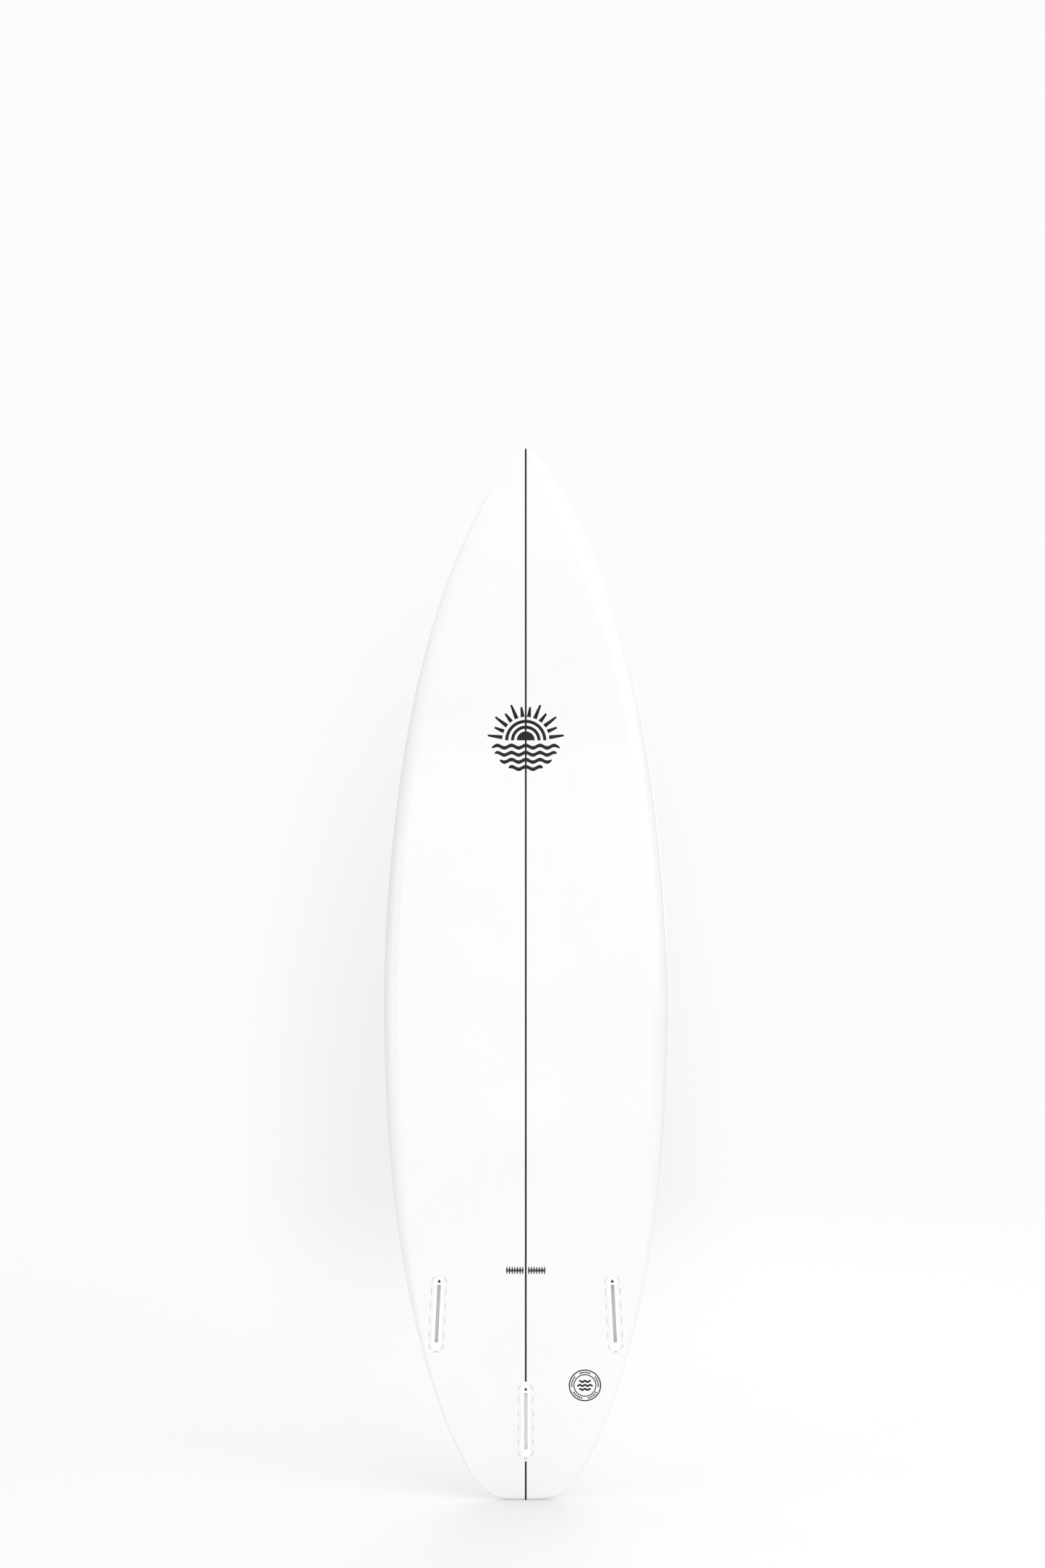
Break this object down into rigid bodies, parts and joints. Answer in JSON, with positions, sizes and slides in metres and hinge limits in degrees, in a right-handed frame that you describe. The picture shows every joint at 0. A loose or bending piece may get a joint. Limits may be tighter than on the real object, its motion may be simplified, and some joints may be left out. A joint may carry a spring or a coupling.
{
  "type": "surfboard",
  "caption": "Shortboard for surfing: foam core on a centre stringer under a glass skin, with single-slot fin boxes, set screws and a leash plug.",
  "frame": {"origin": "bottom centre of the whole board's box, on the level that the tail stands on, in the plane of the stringer", "axes": "+Z from the tail to the nose; the bottom faces -Y and the deck +Y; +X is the rider's left, seen on the deck with the nose ahead"},
  "size_m": [0.488, 0.1356, 1.829],
  "materials": {
    "foam": "matte",
    "stringer": "satin",
    "bottom_glass": "gloss",
    "deck_glass": "gloss",
    "patch_glass": "satin",
    "printed_sheet": "matte",
    "fin_box": "satin",
    "leash_cup": "satin",
    "steel": "satin",
    "screw_steel": "satin"
  },
  "bodies": {
    "board": {"foam_core_left": "foam", "foam_core_right": "foam", "stringer": "stringer", "bottom_laminate": "bottom_glass", "deck_laminate": "deck_glass", "deck_patch": "patch_glass", "logo_decal": "printed_sheet", "name_decal": "printed_sheet", "badge_decal": "printed_sheet", "fin_box_left": "fin_box", "fin_box_right": "fin_box", "fin_box_center": "fin_box", "leash_cup": "leash_cup", "leash_pin": "steel"},
    "fin_screw_left": {"fin_screw_left": "screw_steel"},
    "fin_screw_right": {"fin_screw_right": "screw_steel"},
    "fin_screw_center": {"fin_screw_center": "screw_steel"}
  },
  "joints": [
    {"name": "fin_screw_left_travel", "type": "slide", "parent": "board", "child": "fin_screw_left", "axis": [0.0364, 0.7651, -0.6429], "range_m": [-0.0015, 0.0025]},
    {"name": "fin_screw_right_travel", "type": "slide", "parent": "board", "child": "fin_screw_right", "axis": [-0.0364, 0.7651, -0.6429], "range_m": [-0.0015, 0.0025]},
    {"name": "fin_screw_center_travel", "type": "slide", "parent": "board", "child": "fin_screw_center", "axis": [0, 0.7888, -0.6147], "range_m": [-0.0015, 0.0025]}
  ]
}
